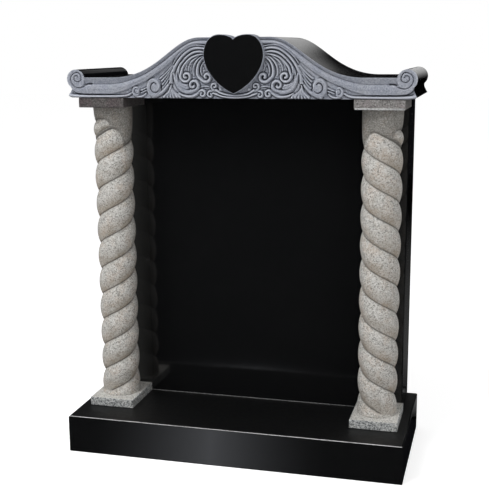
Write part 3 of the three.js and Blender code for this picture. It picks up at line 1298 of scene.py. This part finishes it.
SCROLLS: tuple[Scroll, ...] = (
    # Large curl
    Scroll(
        ((75, 111), (89, 111), (101, 108.5), (113, 104), (123.5, 96.5), (132.5, 87), (139.5, 77)),
        (2.2, 3.1, 3.9, 3.7), (9.5, 10.5, 13.0),
        eye=(130, 55.5), start=38, sweep=-470, radius=(16.5, 3),
    ),
    # Comma leaf
    Scroll(
        ((74.5, 105.5), (85, 100.5), (93.5, 91.5), (98.5, 80), (100, 68)),
        (2.4, 3.8, 4.5, 4.0), (10.5, 11.5, 13.0),
        eye=(74.5, 55), start=4, sweep=-400, radius=(23.5, 4), hold=0.4,
    ),
    # Broad stem from the trunk into the lower curl
    Scroll(
        ((162.5, 62.5), (160.5, 48.5), (155.5, 36.5), (148, 25.5), (137.5, 18.5), (123.5, 16)),
        (2.5, 5.2, 6.6, 4.8, 3.8, 3.5), (9.0, 10.0, 10.5, 13.0),
        eye=(111, 33), start=-88, sweep=-400, radius=(13.5, 2.8), hold=1.8,
    ),
    # Stem at the foot with its hook
    Scroll(
        ((151, 12), (137.5, 7), (122, 4.5), (109, 6.5), (99.5, 12.5), (93.5, 18.5)),
        (3.2, 4.2, 3.6, 3.1), (10.0, 10.5, 12.5),
        eye=(87.5, 12), start=80, sweep=330, radius=(8.6, 2.2), hold=1.6,
    ),
    # Hook and small scroll at the end of the swag
    Scroll(
        ((44, 11), (54, 18)), (3.2, 3.1), (11.0, 12.5),
        eye=(65, 10), start=110, sweep=-360, radius=(9.4, 2.2),
    ),
    Scroll(
        ((44, 18.5),), (3.2, 3.1), (11.0, 12.5),
        eye=(54, 31), start=-60, sweep=360, radius=(9.4, 2.2),
    ),
)

# Strands that cross the middle plane under the heart
SWAGS: tuple[Strand, ...] = (
    Strand(
        ((50, 22), (40, 15), (24, 9.8), (0, 7.5), (-24, 9.8), (-40, 15), (-50, 22)),
        (3.1, 3.1), (13.0, 13.0),
    ),
    Strand(
        ((58, 13.5), (46, 9), (28, 4.4), (0, 2.4), (-28, 4.4), (-46, 9), (-58, 13.5)),
        (2.6, 2.6), (12.0, 12.0),
    ),
)

# Groove that follows the ribbon into the rolled end and winds up there
ROLL_GROOVE: tuple[Station, ...] = (
    (392, 36.5), (402.7, 36), (412.5, 29.8), (420, 27), (428.2, 26), (436, 27.5), (441.8, 31.7),
    (447.5, 39), (449.7, 48.7), (447, 56.5), (441.8, 61.9), (432, 65.6), (425, 63.5), (420.8, 57.5),
    (419.5, 51), (421, 45.5), (428.2, 41.5), (436, 43), (440.2, 49.5), (437.5, 56), (431, 57.5),
    (427.6, 52.5),
)
VOLUTES: tuple[Volute, ...] = (
    # Medium volute
    Volute(
        (219, 27), (19.6, 25.2), rise=12.5, ease=4.0, half=1.8, depth=8.0,
        groove=((211, 36), (215.5, 39.5), (221, 38.5), (225.5, 32), (226, 24), (221.5, 17), (213.5, 14.5),
                (206, 18), (201.5, 25), (199, 34)),
    ),
    # Small volute
    Volute(
        (268.5, 17), (11.2, 14.2), rise=11.5, ease=3.5, half=1.4, depth=6.0,
        groove=((261.5, 22), (266.5, 24.5), (271, 20.5), (270.5, 14.5), (265, 11), (259.5, 13.5),
                (257.5, 19)),
    ),
)

ALMOND = Leaf(
    outline=((120, 26), (126.5, 34), (135.5, 37.5), (145, 38.5), (151, 43.5), (155.5, 53), (154.5, 39),
             (148, 30), (137.5, 23.5), (126.5, 22.5)),
    rib=((122, 27), (135.5, 31), (146.5, 35.5), (154, 45.5)),
)

# Pearls: middle and radius, first the large ones and then the rows of small ones
LARGE_PEARLS: tuple[tuple[Station, float], ...] = (((37.5, 23), 5.2), ((453.5, 7), 6.4))
SMALL_PEARLS: tuple[tuple[Station, float], ...] = (
    ((81.5, 84.5), 2.2), ((83, 76), 2.2), ((82, 68.5), 2.0),
    ((116, 85.5), 1.9), ((117.5, 78), 1.9), ((117.5, 71), 1.8), ((116, 63.5), 1.7),
    ((128, 81.5), 1.6), ((129.5, 74), 1.6),
)


@dataclass
class Fan:
    """Palmette of ribs that spread from a throat to the foot of the stone."""

    throat: Station = (172.0, 34.0)
    feet: tuple[float, ...] = (148.0, 156.5, 165.0, 173.5, 182.0, 191.0)
    foot: float = 3.4
    bend: Span = (0.28, 0.52)
    half: Span = (1.2, 3.9)
    rise: Span = (9.0, 11.5)

    def ribs(self) -> list[Strand]:
        """The ribs as strands.

        Returns:
            One strand for each foot.
        """
        x0, z0 = self.throat
        out, down = self.bend
        return [
            Strand(((x0, z0), (x0 + out * (x - x0), down * z0), (x, self.foot)), self.half, self.rise)
            for x in self.feet
        ]


# Finishes of the pediment in the order of its material slots
PEDIMENT_FINISHES = (POLISHED, CARVED, RIM)
GLOSS, FROST, EDGE = range(len(PEDIMENT_FINISHES))


@dataclass
class Heart:
    """Bare polished heart that stands proud of the carving."""

    tip: float = 12.0
    pulls: tuple[Station, ...] = ((44, 31), (77, 70))
    cheek: Station = (79, 108)
    shoulder: tuple[Station, ...] = ((79, 138), (62, 160.5))
    lobe: Station = (38, 160.5)
    notch_pulls: tuple[Station, ...] = ((22, 160.5), (7, 157))
    notch: float = 149.0
    proud: float = 22.0
    root: float = 20.0
    bevel: float = 1.4
    steps: int = 28

    def outline(self) -> np.ndarray:
        """Closed outline of the heart.

        Returns:
            Points from the tip up the right side and down the left.
        """
        right = np.vstack([
            bezier(((0, self.tip), *self.pulls, self.cheek), self.steps),
            bezier((self.cheek, *self.shoulder, self.lobe), self.steps)[1:],
            bezier((self.lobe, *self.notch_pulls, (0, self.notch)), self.steps)[1:],
        ])
        left = right[-2:0:-1] * (-1, 1)
        return np.vstack([right, left])

    def build(self, ground_y: float, sole_z: float) -> bpy.types.Object:
        """Cut the heart.

        Args:
            ground_y: Place of the carved ground, in millimetres.
            sole_z: Height of the sole, in millimetres.

        Returns:
            The heart, its face polished and its rim frosted.
        """
        bm = bmesh.new()
        face_y = (ground_y - self.proud) * MM
        ring = [bm.verts.new((x * MM, face_y, (sole_z + z) * MM)) for x, z in self.outline()]
        face = bm.faces.new(ring)
        made = bmesh.ops.extrude_face_region(bm, geom=[face])["geom"]
        back = [item for item in made if isinstance(item, bmesh.types.BMVert)]
        bmesh.ops.translate(bm, vec=(0, (self.proud + self.root) * MM, 0), verts=back)
        bmesh.ops.recalc_face_normals(bm, faces=bm.faces[:])
        front = min(bm.faces, key=lambda item: item.calc_center_median().y)
        bmesh.ops.bevel(
            bm, geom=front.edges[:], offset=self.bevel * MM, offset_type="OFFSET", segments=2, profile=0.5,
            affect="EDGES", material=-1,
        )
        front = min(bm.faces, key=lambda item: item.calc_center_median().y)
        for wall in bm.faces:
            wall.material_index = GLOSS if wall == front else EDGE
        return object_of(bm, "heart", PEDIMENT_FINISHES)


@dataclass
class Pediment:
    """Swan-neck pediment with rolled ends: a polished block with a frosted, carved face."""

    crown: float = 153.5
    crown_half: float = 92.0
    flat: float = 53.0
    flat_start: float = 330.0
    neck_pulls: Span = (165.0, 205.0)
    roll: Station = (435.0, 48.5)
    roll_radius: float = 25.0
    roll_margin: float = 1.5
    roll_open: float = -50.0
    throat: Station = (451.5, 20.0)
    lip_tip: Station = (459.5, 5.0)
    sole_half: float = 451.0
    neck_steps: int = 56
    edge_steps: int = 48
    roll_steps: int = 40
    lip_steps: int = 5
    relief: float = 14.0
    overhang: float = 22.0
    ground: float = 4.0
    channel: Span = (2.3, 5.0)
    pearl_rises: Span = (12.0, 9.0)
    grid: float = 0.9
    flat_grid: float = 2.5
    roll_grid: float = 1.0
    flat_zone: Span = (290.0, 396.0)
    field_size: Station = (466.0, 168.0)
    spare: float = 40.0
    crisp: float = 32.0
    # Reach and span of the mask for the carving's painted highlight and painted shade
    crest_reach: int = 5
    crest_span: float = 10.0
    cornice: Cornice = field(default_factory=Cornice)
    fan: Fan = field(default_factory=Fan)
    heart: Heart = field(default_factory=Heart)

    def swan_neck(self, steps: int) -> np.ndarray:
        """Curve from the crown down to the flat.

        Args:
            steps: Number of steps.

        Returns:
            Its points on the right half.
        """
        return bezier((
            (self.crown_half, self.crown), (self.neck_pulls[0], self.crown),
            (self.neck_pulls[1], self.flat), (self.flat_start, self.flat),
        ), steps)

    def outline(self) -> np.ndarray:
        """Closed outline of the block.

        Returns:
            Points from the crown down the right side and back up the left.
        """
        start = math.pi - math.asin((self.flat - self.roll[1]) / self.roll_radius)
        angles = np.linspace(start, math.radians(self.roll_open), self.roll_steps + 1)
        arc = np.column_stack([
            self.roll[0] + self.roll_radius * np.cos(angles),
            self.roll[1] + self.roll_radius * np.sin(angles),
        ])
        lip = spline((tuple(arc[-1]), self.throat, self.lip_tip), self.lip_steps)[1:]
        right = np.vstack([self.swan_neck(self.neck_steps), arc, lip, [(self.sole_half, 0.0)]])
        return np.vstack([right, right[::-1] * (-1, 1)])

    def roll_volute(self) -> Volute:
        """Face of a rolled end.

        Returns:
            A volute a little larger than the roll, so that the outline cuts its edge square.
        """
        reach = self.roll_radius + self.roll_margin
        return Volute(
            self.roll, (reach, reach), rise=self.relief, ease=2.5, half=1.5, depth=6.5, groove=ROLL_GROOVE,
        )

    def carve(self) -> ReliefField:
        """Carve the right half of the face.

        Returns:
            The field of heights.
        """
        fine_end, flat_end = self.flat_zone
        columns = np.concatenate([
            np.arange(0.0, fine_end, self.grid), np.arange(fine_end, flat_end, self.flat_grid),
            np.arange(flat_end, self.field_size[0], self.roll_grid),
        ])
        rows = np.arange(-2.0 * self.grid, self.field_size[1], self.grid)
        carving = ReliefField(columns, rows, self.ground, self.channel)
        edge = np.vstack([
            [(self.cornice.end, self.flat)], self.swan_neck(self.edge_steps)[::-1],
            [(self.cornice.start, self.crown)],
        ])
        carving.moulding(edge, self.cornice)
        for strand in (*STRANDS, *SCROLLS, *SWAGS, *self.fan.ribs()):
            carving.ridge(strand)
        carving.leaf(ALMOND.outline, ALMOND.rise, ALMOND.ease)
        carving.groove(ALMOND.rib, ALMOND.half, ALMOND.depth)
        volutes = (self.roll_volute(), *VOLUTES)
        for volute in volutes:
            carving.disc(volute.centre, volute.radii, volute.rise, volute.ease)
        for volute in volutes:
            carving.groove(volute.groove, volute.half, volute.depth)
        for pearls, rise in zip((LARGE_PEARLS, SMALL_PEARLS), self.pearl_rises):
            for centre, radius in pearls:
                carving.disc(centre, (radius, radius), rise, radius)
        carving.soften()
        return carving

    def face_slab(
        self, carved: ReliefField, ground_y: float, back_y: float, sole_z: float,
    ) -> bpy.types.Object:
        """Make a slab whose front is the carving.

        Args:
            carved: Heights of the right half.
            ground_y: Place of the carved ground, in millimetres.
            back_y: Place of the back, in millimetres.
            sole_z: Height of the sole, in millimetres.

        Returns:
            The slab, larger than the outline.
        """
        xs = np.concatenate([-carved.columns[:0:-1], carved.columns])
        heights = np.concatenate([carved.height[:, :0:-1], carved.height], axis=1)
        bm = bmesh.new()
        bmesh.ops.create_grid(bm, x_segments=xs.size - 1, y_segments=carved.rows.size - 1, size=0.5)
        for vert in bm.verts:
            column = round((vert.co.x + 0.5) * (xs.size - 1))
            row = round((vert.co.y + 0.5) * (carved.rows.size - 1))
            vert.co = (
                xs[column] * MM, (ground_y - heights[row, column]) * MM, (sole_z + carved.rows[row]) * MM,
            )
        for face in bm.faces:
            face.material_index = FROST
        rim = [edge for edge in bm.edges if edge.is_boundary]
        made = bmesh.ops.extrude_edge_only(bm, edges=rim)["geom"]
        for item in made:
            if isinstance(item, bmesh.types.BMVert):
                item.co.y = (back_y + self.spare) * MM
        bmesh.ops.holes_fill(bm, edges=[edge for edge in bm.edges if edge.is_boundary], sides=0)
        bmesh.ops.recalc_face_normals(bm, faces=bm.faces[:])
        return object_of(bm, "carved_pediment", PEDIMENT_FINISHES)

    def block(self, front_y: float, back_y: float, sole_z: float) -> bpy.types.Object:
        """Make the block of the outline.

        Args:
            front_y: Place of its front, in millimetres.
            back_y: Place of its back, in millimetres.
            sole_z: Height of the sole, in millimetres.

        Returns:
            The polished block.
        """
        bm = bmesh.new()
        ring = [bm.verts.new((x * MM, back_y * MM, (sole_z + z) * MM)) for x, z in self.outline()]
        face = bm.faces.new(ring)
        made = bmesh.ops.extrude_face_region(bm, geom=[face])["geom"]
        front = [item for item in made if isinstance(item, bmesh.types.BMVert)]
        bmesh.ops.translate(bm, vec=(0, (front_y - back_y) * MM, 0), verts=front)
        bmesh.ops.recalc_face_normals(bm, faces=bm.faces[:])
        return object_of(bm, "pediment_block", PEDIMENT_FINISHES)

    def shade(self, piece: bpy.types.Object) -> None:
        """Shade the carving smooth and keep the edges of the polished faces crisp.

        Args:
            piece: The joined pediment.
        """
        bm = bmesh.new()
        bm.from_mesh(piece.data)
        bmesh.ops.remove_doubles(bm, verts=bm.verts[:], dist=DOUBLE)
        for face in bm.faces:
            face.smooth = True
        crisp = math.radians(self.crisp)
        for edge in bm.edges:
            slots = {face.material_index for face in edge.link_faces}
            edge.smooth = slots == {FROST} or (len(slots) == 1 and edge.calc_face_angle(0.0) < crisp)
        bm.to_mesh(piece.data)
        bm.free()

    def build(self) -> bpy.types.Object:
        """Carve the pediment and hand it over.

        Returns:
            The pediment.
        """
        low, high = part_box("pediment")
        sole_z = low.z / MM
        back_y = high.y / MM
        ground_y = low.y / MM + self.overhang
        carved = self.carve()
        piece = self.face_slab(carved, ground_y, back_y, sole_z)
        joined(piece, self.block(ground_y - self.spare, back_y, sole_z), "INTERSECT")
        joined(piece, self.heart.build(ground_y, sole_z), "UNION")
        self.shade(piece)
        flat = np.empty(len(piece.data.vertices) * 3)
        piece.data.vertices.foreach_get("co", flat)
        x, _, z = flat.reshape(-1, 3).T / MM
        # Mask of the painted highlight on the crests and the painted shade in the cuts
        stand = carved.painted_relief_light(self.crest_reach, self.crest_span)
        painted_relief_light = carved.sample(stand, np.abs(x), z - sole_z)
        piece.data.attributes.new("painted_relief_light", "FLOAT", "POINT").data.foreach_set("value", painted_relief_light)
        deliver(piece, "pediment")
        return piece


# Studio


@dataclass(frozen=True)
class Softbox:
    """A soft lamp of the studio, which polished faces don't mirror."""

    name: str
    place: Place
    target: Place
    size: float
    watts: float

    def build(self) -> None:
        """Hang the lamp."""
        lamp = bpy.data.lights.new(self.name, "AREA")
        lamp.shape = "SQUARE"
        lamp.size = self.size
        lamp.energy = self.watts
        holder = bpy.data.objects.new(self.name, lamp)
        bpy.context.scene.collection.objects.link(holder)
        aim = Vector(self.target) - Vector(self.place)
        turned = aim.to_track_quat("-Z", "Y").to_matrix().to_4x4()
        holder.matrix_world = Matrix.Translation(self.place) @ turned
        holder.visible_camera = False
        holder.visible_glossy = False


# Fall of a card's light that lies beyond every card
NO_FALL: Span = (4.0, 5.0)


@dataclass(frozen=True)
class Reflector:
    """A card that only polished faces mirror.

    Its light comes up and dies down along an axis, between the limits of its rise and of its fall.
    A sheer card adds its light to what lies behind it.
    """

    name: str
    low: Place
    high: Place
    axis: Place
    rise: Span
    colour: Colour
    fall: Span = NO_FALL
    fade: float = 1.0
    sheer: bool = False

    def build(self) -> None:
        """Set the card up."""
        bm = bmesh.new()
        cuboid(bm, Vector(self.low), Vector(self.high))
        mesh = bpy.data.meshes.new(self.name)
        bm.to_mesh(mesh)
        bm.free()
        material = bpy.data.materials.new(self.name)
        material.use_nodes = True
        sheet = NodeSheet(material.node_tree)
        place = sheet.add("ShaderNodeTexCoord").outputs["Object"]
        dot = sheet.add("ShaderNodeVectorMath", {"operation": "DOT_PRODUCT"})
        sheet.feed(dot.inputs[0], place)
        sheet.feed(dot.inputs[1], self.axis)
        along = dot.outputs["Value"]
        risen = sheet.spread(along, self.rise, curve="LINEAR")
        fallen = sheet.spread(along, self.fall[::-1], curve="LINEAR")
        share = sheet.math("POWER", sheet.math("MULTIPLY", risen, fallen), self.fade)
        colour = sheet.mix(share, grey(0.0), self.colour)
        surface = sheet.add("ShaderNodeEmission", Color=colour, Strength=1.0).outputs["Emission"]
        if self.sheer:
            both = sheet.add("ShaderNodeAddShader")
            sheet.feed(both.inputs[0], surface)
            sheet.feed(both.inputs[1], sheet.add("ShaderNodeBsdfTransparent").outputs["BSDF"])
            surface = both.outputs["Shader"]
        sheet.add("ShaderNodeOutputMaterial", Surface=surface)
        mesh.materials.append(material)
        card = bpy.data.objects.new(self.name, mesh)
        bpy.context.scene.collection.objects.link(card)
        card.visible_camera = False
        card.visible_diffuse = False
        card.visible_shadow = False


@dataclass
class Studio:
    """Camera at the photograph's angle, pale floor and soft light."""

    place: Place = (0.66612, -2.54067, 1.09121)
    yaw: float = 14.83
    pitch: float = 11.68
    roll: float = -0.40
    lens: float = 70.49
    sensor: float = 36.0
    sight: float = 60.0
    floor_size: float = 40.0
    floor_glow: Colour = grey(0.66)
    room_light: Colour = grey(0.42)
    mirror_light: Colour = (0.004, 0.004, 0.005, 1)
    boxes: tuple[Softbox, ...] = (
        Softbox("key", (-1.7, -2.4, 3.7), (0, 0, 0.6), 2.2, 110.0),
        Softbox("fill", (2.8, -2.6, 2.2), (0, 0, 0.6), 2.0, 26.0),
    )
    reflectors: tuple[Reflector, ...] = (
        # Far cards behind the stone, which the curved top of the pediment mirrors
        Reflector(
            "hill_card", (-1.4, 5, 1.2), (0, 5.0005, 2.3), (-0.7, 0, 1), (1.885, 2.21), grey(0.56),
        ),
        Reflector(
            "roll_card", (0.02, 5, 0.8), (1.0, 5.0005, 1.6), (-0.5, 0, 1), (0.42, 1.32), grey(0.7),
        ),
        Reflector(
            "strip_card", (-1.6, 5, 2.5), (0.5, 5.0005, 3.6), (0, 0, 1), (2.5, 3.0), grey(0.2),
            fall=(3.0, 3.6),
        ),
        # Cards on the floor, which the upright faces mirror
        Reflector(
            "band_card", (-0.6, -0.5, 0.0005), (0.45, -0.206, 0.001), (1, -0.27, 0), (-0.39, 0.0),
            (0.89, 0.92, 0.99, 1), fall=(0.0, 0.35), fade=2.0,
        ),
        Reflector(
            "side_card", (0.46, 0.5, 0.0005), (1.3, 6.0, 0.001), (0, 1, 0), (0.3, 0.8), grey(0.06),
            fall=(0.9, 4.0),
        ),
        Reflector(
            "end_card", (0.46, 0.25, 0.0007), (1.3, 0.54, 0.0012), (0, 1, 0), (0.27, 0.46), grey(0.18),
            fall=(0.46, 0.53),
        ),
        Reflector(
            "rear_card", (-0.9, 0.45, 0.0005), (0.42, 14.0, 0.001), (1, 0, 0), (-0.75, -0.12),
            (0.7, 0.7, 0.72, 1), fall=(-0.12, 0.4), fade=1.5,
        ),
        Reflector(
            "left_card", (-12.0, -0.45, 0.0005), (-0.62, 0.5, 0.001), (0, 1, 0), (-0.4, 0.1),
            (0.6, 0.6, 0.62, 1), fall=(0.1, 0.45), fade=1.5,
        ),
        Reflector(
            "right_card", (0.62, -0.45, 0.0005), (12.0, 0.45, 0.001), (0, 1, 0), (-0.4, 0.05),
            (0.6, 0.6, 0.62, 1), fall=(0.05, 0.42), fade=1.5,
        ),
        # Black flag that keeps the lip of the right end dark
        Reflector(
            "lip_flag", (0.44, 0.25, 0.92), (0.62, 0.2505, 1.003), (0, 0, 1), (2, 3), grey(0.0),
        ),
        # Sky over the stone, and a sheer glowing card in the niche, seen only in mirrors, which paints a
        # brighter reflection of the left column into the tablet
        Reflector(
            "sky_card", (-2.4, -4.5, 4.6), (2.4, 4.5, 4.6005), (1, 0.3, 0), (-2.2, -0.5),
            (0.55, 0.55, 0.57, 1), fall=(-0.5, 1.8), fade=1.3,
        ),
        Reflector(
            "niche_card", (-0.428, 0.036, 0.128), (-0.306, 0.0365, 0.936), (1, 0, 0), (-0.43, -0.38),
            (0.11, 0.11, 0.105, 1), fall=(-0.352, -0.304), sheer=True,
        ),
    )

    def camera(self) -> None:
        """Set up the camera."""
        data = bpy.data.cameras.new("camera")
        data.lens = self.lens
        data.sensor_width = self.sensor
        data.clip_end = self.sight
        holder = bpy.data.objects.new("camera", data)
        bpy.context.scene.collection.objects.link(holder)
        turned = (
            Matrix.Rotation(math.radians(self.yaw), 4, "Z")
            @ Matrix.Rotation(math.radians(90.0 - self.pitch), 4, "X")
            @ Matrix.Rotation(math.radians(self.roll), 4, "Z")
        )
        holder.matrix_world = Matrix.Translation(self.place) @ turned
        bpy.context.scene.camera = holder

    def floor(self) -> None:
        """Lay the pale floor, which runs out white into the room."""
        bm = bmesh.new()
        bmesh.ops.create_grid(bm, x_segments=1, y_segments=1, size=self.floor_size / 2.0)
        mesh = bpy.data.meshes.new("floor")
        bm.to_mesh(mesh)
        bm.free()
        material = bpy.data.materials.new("pale_floor")
        material.use_nodes = True
        sheet = NodeSheet(material.node_tree)
        seen = sheet.add("ShaderNodeLightPath").outputs["Is Camera Ray"]
        surface = sheet.add(
            "ShaderNodeBsdfPrincipled", Base_Color=grey(0.8), Roughness=0.9, Specular_IOR_Level=0.0,
            Emission_Color=sheet.mix(seen, grey(0.0), self.floor_glow), Emission_Strength=1.0,
        )
        sheet.add("ShaderNodeOutputMaterial", Surface=surface.outputs["BSDF"])
        mesh.materials.append(material)
        ground = bpy.data.objects.new("floor", mesh)
        bpy.context.scene.collection.objects.link(ground)
        ground.visible_glossy = False

    def world(self) -> None:
        """Fill the room: white where the camera looks, soft on the stone, dark in mirrors."""
        world = bpy.data.worlds.new("studio")
        bpy.context.scene.world = world
        world.use_nodes = True
        sheet = NodeSheet(world.node_tree)
        ray = sheet.add("ShaderNodeLightPath").outputs
        seen = sheet.mix(ray["Is Camera Ray"], self.room_light, grey(1.0))
        colour = sheet.mix(ray["Is Glossy Ray"], seen, self.mirror_light)
        backdrop = sheet.add("ShaderNodeBackground", Color=colour, Strength=1.0)
        sheet.add("ShaderNodeOutputWorld", Surface=backdrop.outputs["Background"])

    def build(self) -> None:
        """Set the studio up."""
        bpy.context.scene.view_settings.view_transform = "Standard"
        self.camera()
        self.floor()
        self.world()
        for item in (*self.boxes, *self.reflectors):
            item.build()


def main() -> None:
    """Set up the studio, build the headstone stone by stone and report each piece."""
    logging.basicConfig(level=logging.INFO, format="%(name)s: %(message)s")
    Studio().build()
    stones: list[Stone] = [BaseStone(), Tablet()]
    for side in Side:
        # The plinth tops take the lighter stone, painted light on the top faces
        plinth = Slab(f"plinth_{side.label}", PLINTH, Slot.LIGHT, top=LIT_PLINTH_TOP)
        stones += [plinth, TwistedColumn(side), CAPITALS[side]]
    stones.append(Pediment())
    for stone in stones:
        piece = stone.build()
        piece.data.calc_loop_triangles()
        LOG.info("%s has %d triangles", piece.name, len(piece.data.loop_triangles))


if __name__ == "__main__":
    main()
